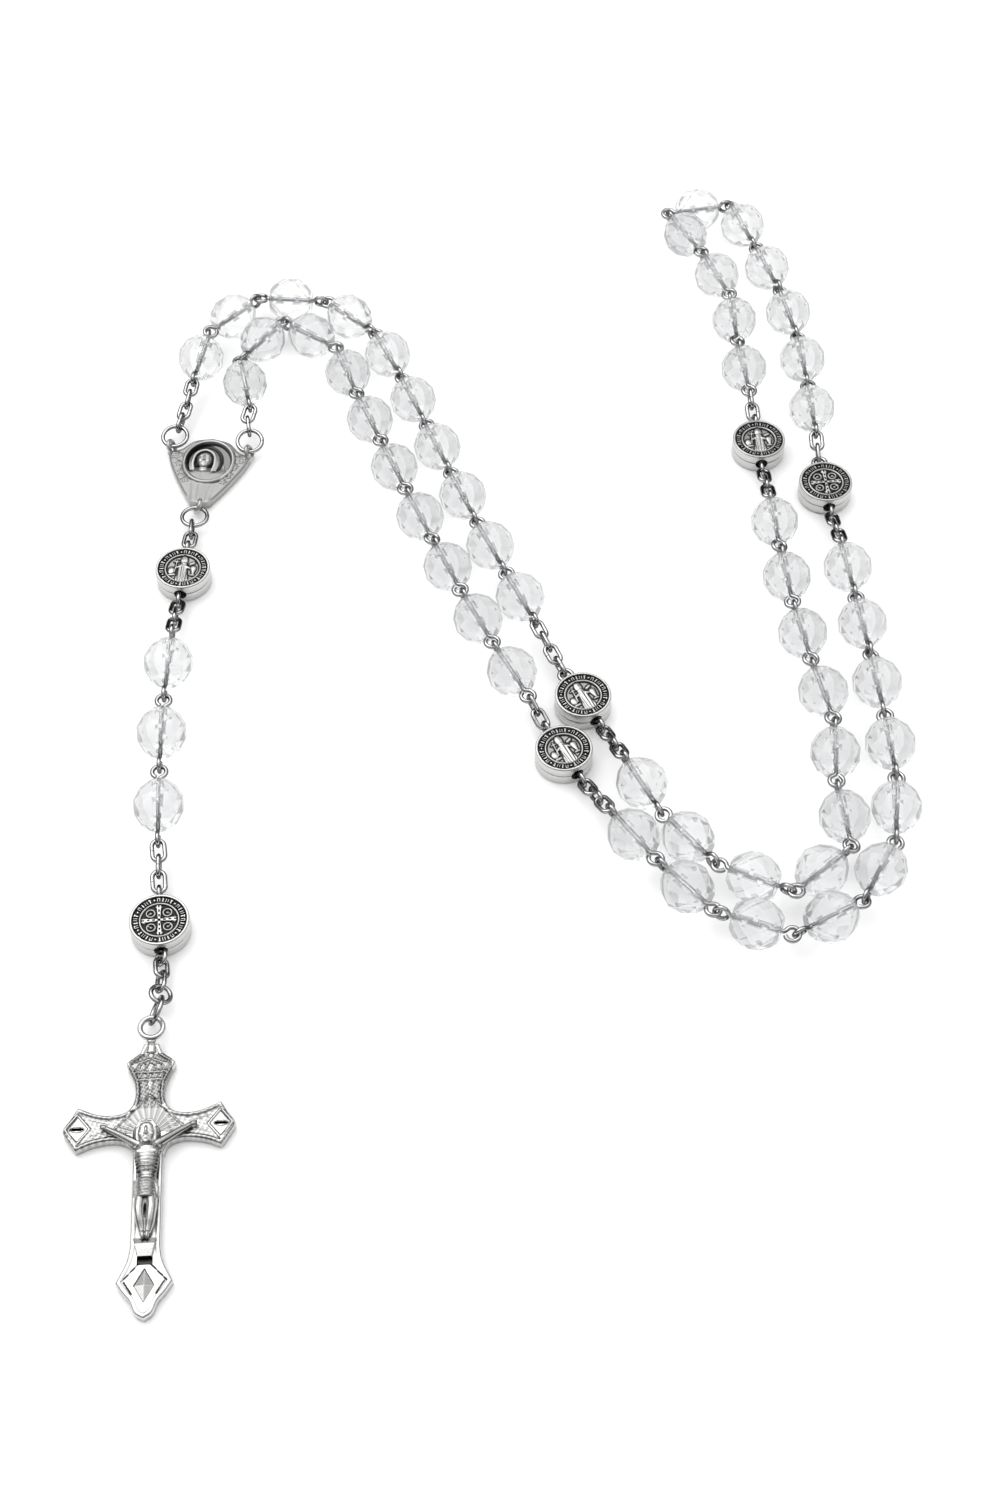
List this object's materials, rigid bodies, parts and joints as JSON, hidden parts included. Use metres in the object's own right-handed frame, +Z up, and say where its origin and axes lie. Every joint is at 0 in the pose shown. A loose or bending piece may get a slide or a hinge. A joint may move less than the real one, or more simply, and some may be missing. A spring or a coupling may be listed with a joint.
{
  "type": "rosary",
  "caption": "Rosary of clear faceted crystals on wire pins, with round two-sided medals, a triangular centrepiece and a crucifix, laid out as if just set down.",
  "frame": {"origin": "middle of the bounding box in plan, on the surface the rosary lies on", "axes": "+Z up from the surface, +Y from the crucifix towards the far ends of the loop, +X to the right seen from the crucifix end"},
  "size_m": [0.1396, 0.2484, 0.0085],
  "materials": {
    "clear_crystal": "polished facets",
    "steel_wire": "bright drawn wire",
    "oxidised_silver": "antique silver plate with black recesses",
    "matte_silver": "matte grey silver plate",
    "bright_silver": "bright silver plate over a casting"
  },
  "bodies": {
    "centerpiece": {"centerpiece": "matte_silver"},
    "jump_ring_left": {"jump_ring_left": "steel_wire"},
    "left_chain": {"left_chain": "steel_wire"},
    "decade_1_upper": {"decade_1_upper_crystals": "clear_crystal", "decade_1_upper_pins": "steel_wire"},
    "decade_1_middle": {"decade_1_middle_crystals": "clear_crystal", "decade_1_middle_pins": "steel_wire"},
    "decade_1_lower": {"decade_1_lower_crystals": "clear_crystal", "decade_1_lower_pins": "steel_wire", "decade_1_lower_links": "steel_wire"},
    "medal_1": {"medal_1": "oxidised_silver"},
    "medal_1_run": {"medal_1_pin": "steel_wire", "medal_1_links": "steel_wire"},
    "decade_2_lower": {"decade_2_lower_crystals": "clear_crystal", "decade_2_lower_pins": "steel_wire"},
    "decade_2_upper": {"decade_2_upper_crystals": "clear_crystal", "decade_2_upper_pins": "steel_wire"},
    "medal_2_run": {"medal_2_links": "steel_wire", "medal_2_pin": "steel_wire"},
    "medal_2": {"medal_2": "oxidised_silver"},
    "decade_3": {"decade_3_crystals": "clear_crystal", "decade_3_pins": "steel_wire"},
    "medal_3_run": {"medal_3_links": "steel_wire", "medal_3_pin": "steel_wire"},
    "medal_3": {"medal_3": "oxidised_silver"},
    "decade_4_upper": {"decade_4_upper_crystals": "clear_crystal", "decade_4_upper_pins": "steel_wire"},
    "decade_4_lower": {"decade_4_lower_crystals": "clear_crystal", "decade_4_lower_pins": "steel_wire", "decade_4_lower_links": "steel_wire"},
    "medal_4": {"medal_4": "oxidised_silver"},
    "medal_4_run": {"medal_4_pin": "steel_wire", "medal_4_links": "steel_wire"},
    "decade_5_lower": {"decade_5_lower_crystals": "clear_crystal", "decade_5_lower_pins": "steel_wire"},
    "decade_5_middle": {"decade_5_middle_crystals": "clear_crystal", "decade_5_middle_pins": "steel_wire"},
    "decade_5_upper": {"decade_5_upper_crystals": "clear_crystal", "decade_5_upper_pins": "steel_wire"},
    "right_chain": {"right_chain": "steel_wire"},
    "jump_ring_right": {"jump_ring_right": "steel_wire"},
    "jump_ring_lower": {"jump_ring_lower": "steel_wire"},
    "pendant_chain_1": {"pendant_chain_1": "steel_wire"},
    "medal_5": {"medal_5": "oxidised_silver"},
    "medal_5_run": {"medal_5_pin": "steel_wire"},
    "pendant_chain_2": {"pendant_chain_2": "steel_wire"},
    "pendant_crystal_1": {"pendant_crystal_1": "clear_crystal"},
    "pendant_pin_1": {"pendant_pin_1": "steel_wire"},
    "pendant_crystal_2": {"pendant_crystal_2": "clear_crystal"},
    "pendant_pin_2": {"pendant_pin_2": "steel_wire"},
    "pendant_crystal_3": {"pendant_crystal_3": "clear_crystal"},
    "pendant_pin_3": {"pendant_pin_3": "steel_wire"},
    "pendant_chain_3": {"pendant_chain_3": "steel_wire"},
    "medal_6": {"medal_6": "oxidised_silver"},
    "medal_6_run": {"medal_6_pin": "steel_wire"},
    "pendant_chain_4": {"pendant_chain_4": "steel_wire"},
    "small_ring": {"small_ring": "steel_wire"},
    "big_ring": {"big_ring": "steel_wire"},
    "crucifix": {"crucifix": "bright_silver", "corpus": "bright_silver"}
  },
  "joints": [
    {"name": "fold_1", "type": "hinge", "parent": "centerpiece", "child": "jump_ring_left", "pos_m": [-0.06491, 0.0545, 0.00182], "axis": [0.9951, -0.0988, 0], "range_deg": [-30, 30]},
    {"name": "fold_1_right", "type": "hinge", "parent": "centerpiece", "child": "jump_ring_right", "pos_m": [-0.04968, 0.05299, 0.00182], "axis": [0.9951, -0.0988, 0], "range_deg": [-30, 30]},
    {"name": "fold_2", "type": "hinge", "parent": "jump_ring_left", "child": "left_chain", "pos_m": [-0.06363, 0.05894, 0.00251], "axis": [-0.9936, 0.1078, -0.0331], "range_deg": [-35, 35]},
    {"name": "fold_2_right", "type": "hinge", "parent": "jump_ring_right", "child": "right_chain", "pos_m": [-0.04998, 0.05746, 0.00297], "axis": [-0.9936, 0.1078, -0.0331], "range_deg": [-35, 35]},
    {"name": "fold_3", "type": "hinge", "parent": "left_chain", "child": "decade_1_upper", "pos_m": [-0.06153, 0.06975, 0.00438], "axis": [0.8572, -0.515, 0], "range_deg": [-30, 30]},
    {"name": "fold_3_right", "type": "hinge", "parent": "right_chain", "child": "decade_5_upper", "pos_m": [-0.04976, 0.06268, 0.00438], "axis": [0.8572, -0.515, 0], "range_deg": [-30, 30]},
    {"name": "fold_4", "type": "hinge", "parent": "decade_1_upper", "child": "decade_1_middle", "pos_m": [-0.02684, 0.08368, 0.00438], "axis": [0.7564, 0.6542, 0], "range_deg": [-50, 50]},
    {"name": "fold_4_right", "type": "hinge", "parent": "decade_5_upper", "child": "decade_5_middle", "pos_m": [-0.03315, 0.07823, 0.00438], "axis": [0.7564, 0.6542, 0], "range_deg": [-50, 50]},
    {"name": "fold_5", "type": "hinge", "parent": "decade_1_middle", "child": "decade_1_lower", "pos_m": [-0.01151, 0.04589, 0.00438], "axis": [-0.7792, -0.6267, 0], "range_deg": [-50, 50]},
    {"name": "fold_5_right", "type": "hinge", "parent": "decade_5_middle", "child": "decade_5_lower", "pos_m": [-0.01915, 0.03974, 0.00438], "axis": [-0.7792, -0.6267, 0], "range_deg": [-50, 50]},
    {"name": "fold_6", "type": "hinge", "parent": "decade_1_lower", "child": "medal_1_run", "pos_m": [0.0093, -0.00149, 0.0023], "axis": [0.5637, 0.8082, -0.1702], "range_deg": [-45, 45]},
    {"name": "fold_6_right", "type": "hinge", "parent": "decade_5_lower", "child": "medal_4_run", "pos_m": [0.00363, -0.00962, 0.00402], "axis": [0.5637, 0.8082, -0.1702], "range_deg": [-45, 45]},
    {"name": "fold_7", "type": "hinge", "parent": "medal_1_run", "child": "decade_2_lower", "pos_m": [0.01943, -0.02214, 0.00438], "axis": [-0.8553, -0.4408, -0.2722], "range_deg": [-50, 50]},
    {"name": "fold_7_right", "type": "hinge", "parent": "medal_4_run", "child": "decade_4_lower", "pos_m": [0.01234, -0.02579, 0.00212], "axis": [-0.8553, -0.4408, -0.2722], "range_deg": [-50, 50]},
    {"name": "fold_8", "type": "hinge", "parent": "decade_2_lower", "child": "decade_2_upper", "pos_m": [0.05554, -0.02851, 0.00438], "axis": [-0.9643, -0.2647, 0], "range_deg": [-50, 50]},
    {"name": "fold_8_right", "type": "hinge", "parent": "decade_4_lower", "child": "decade_4_upper", "pos_m": [0.06603, -0.02563, 0.00438], "axis": [-0.9643, -0.2647, 0], "range_deg": [-50, 50]},
    {"name": "fold_9", "type": "hinge", "parent": "decade_2_upper", "child": "medal_2_run", "pos_m": [0.04857, 0.03889, 0.00438], "axis": [0.7427, -0.6697, 0], "range_deg": [-30, 30]},
    {"name": "fold_9_right", "type": "hinge", "parent": "decade_4_upper", "child": "medal_3_run", "pos_m": [0.06101, 0.02767, 0.00438], "axis": [0.7427, -0.6697, 0], "range_deg": [-30, 30]},
    {"name": "fold_10", "type": "hinge", "parent": "medal_2_run", "child": "decade_3", "pos_m": [0.04668, 0.06605, 0.00402], "axis": [-0.7507, 0.6602, -0.023], "range_deg": [-30, 30]},
    {"name": "jump_ring_lower_tilt", "type": "hinge", "parent": "centerpiece", "child": "jump_ring_lower", "pos_m": [-0.05851, 0.03834, 0.00182], "axis": [0.9781, -0.2079, 0], "range_deg": [-45, 45]},
    {"name": "pendant_chain_1_swing", "type": "hinge", "parent": "jump_ring_lower", "child": "pendant_chain_1", "pos_m": [-0.0593, 0.03463, 0.00193], "axis": [0, 0, 1], "range_deg": [-25, 25]},
    {"name": "medal_5_run_tilt", "type": "hinge", "parent": "pendant_chain_1", "child": "medal_5_run", "pos_m": [-0.05959, 0.02815, 0.00212], "axis": [-0.9986, 0.0523, 0], "range_deg": [-45, 45]},
    {"name": "pendant_chain_2_swing", "type": "hinge", "parent": "medal_5_run", "child": "pendant_chain_2", "pos_m": [-0.06028, 0.01406, 0.00212], "axis": [0, 0, -1], "range_deg": [-25, 25]},
    {"name": "pendant_pin_1_tilt", "type": "hinge", "parent": "pendant_chain_2", "child": "pendant_pin_1", "pos_m": [-0.06049, 0.00607, 0.00438], "axis": [0.9998, -0.0175, 0], "range_deg": [-45, 45]},
    {"name": "pendant_pin_2_swing", "type": "hinge", "parent": "pendant_pin_1", "child": "pendant_pin_2", "pos_m": [-0.06073, -0.00957, 0.00438], "axis": [0, 0, 1], "range_deg": [-25, 25]},
    {"name": "pendant_pin_3_tilt", "type": "hinge", "parent": "pendant_pin_2", "child": "pendant_pin_3", "pos_m": [-0.06025, -0.02427, 0.00438], "axis": [-0.9976, -0.0698, 0], "range_deg": [-45, 45]},
    {"name": "pendant_chain_3_swing", "type": "hinge", "parent": "pendant_pin_3", "child": "pendant_chain_3", "pos_m": [-0.0591, -0.04073, 0.00438], "axis": [0, 0, -1], "range_deg": [-25, 25]},
    {"name": "medal_6_run_tilt", "type": "hinge", "parent": "pendant_chain_3", "child": "medal_6_run", "pos_m": [-0.0584, -0.0487, 0.00212], "axis": [0.9945, 0.1045, 0], "range_deg": [-45, 45]},
    {"name": "pendant_chain_4_swing", "type": "hinge", "parent": "medal_6_run", "child": "pendant_chain_4", "pos_m": [-0.05694, -0.06276, 0.00212], "axis": [0, 0, 1], "range_deg": [-25, 25]},
    {"name": "small_ring_tilt", "type": "hinge", "parent": "pendant_chain_4", "child": "small_ring", "pos_m": [-0.0567, -0.06741, 0.00278], "axis": [-0.9848, -0.1736, 0], "range_deg": [-25, 25]},
    {"name": "big_ring_swing", "type": "hinge", "parent": "small_ring", "child": "big_ring", "pos_m": [-0.05629, -0.06975, 0.00312], "axis": [0, 0, -1], "range_deg": [-25, 25]},
    {"name": "crucifix_tilt", "type": "hinge", "parent": "big_ring", "child": "crucifix", "pos_m": [-0.05753, -0.07315, 0.00247], "axis": [0.9659, -0.2588, 0], "range_deg": [-40, 40]},
    {"name": "medal_1_spin", "type": "hinge", "parent": "medal_1_run", "child": "medal_1", "pos_m": [0.01274, -0.00815, 0.00221], "axis": [0.4587, -0.8885, -0.0121], "continuous": true},
    {"name": "medal_2_spin", "type": "hinge", "parent": "medal_2_run", "child": "medal_2", "pos_m": [0.04764, 0.05437, 0.00212], "axis": [-0.0662, 0.9978, 0], "continuous": true},
    {"name": "medal_3_spin", "type": "hinge", "parent": "medal_3_run", "child": "medal_3", "pos_m": [0.05951, 0.04311, 0.0023], "axis": [0.0882, -0.9958, -0.0242], "continuous": true},
    {"name": "medal_4_spin", "type": "hinge", "parent": "medal_4_run", "child": "medal_4", "pos_m": [0.0092, -0.01994, 0.00212], "axis": [-0.4733, 0.8809, 0], "continuous": true},
    {"name": "medal_5_spin", "type": "hinge", "parent": "medal_5_run", "child": "medal_5", "pos_m": [-0.05989, 0.02155, 0.00212], "axis": [-0.0523, -0.9986, 0], "continuous": true},
    {"name": "pendant_crystal_1_spin", "type": "hinge", "parent": "pendant_pin_1", "child": "pendant_crystal_1", "pos_m": [-0.06059, -0.00132, 0.00438], "axis": [-0.0175, -0.9998, 0], "continuous": true},
    {"name": "pendant_crystal_2_spin", "type": "hinge", "parent": "pendant_pin_2", "child": "pendant_crystal_2", "pos_m": [-0.06048, -0.01692, 0.00438], "axis": [0.0349, -0.9994, 0], "continuous": true},
    {"name": "pendant_crystal_3_spin", "type": "hinge", "parent": "pendant_pin_3", "child": "pendant_crystal_3", "pos_m": [-0.05968, -0.0325, 0.00438], "axis": [0.0698, -0.9976, 0], "continuous": true},
    {"name": "medal_6_spin", "type": "hinge", "parent": "medal_6_run", "child": "medal_6", "pos_m": [-0.05772, -0.0553, 0.00212], "axis": [0.1045, -0.9945, 0], "continuous": true}
  ],
  "couplings": [
    {"joint": "fold_1_right", "follows": "fold_1", "ratio": 1},
    {"joint": "fold_2_right", "follows": "fold_2", "ratio": 1},
    {"joint": "fold_3_right", "follows": "fold_3", "ratio": 1},
    {"joint": "fold_4_right", "follows": "fold_4", "ratio": 1},
    {"joint": "fold_5_right", "follows": "fold_5", "ratio": 1},
    {"joint": "fold_6_right", "follows": "fold_6", "ratio": 1},
    {"joint": "fold_7_right", "follows": "fold_7", "ratio": 1},
    {"joint": "fold_8_right", "follows": "fold_8", "ratio": 1},
    {"joint": "fold_9_right", "follows": "fold_9", "ratio": 1}
  ]
}
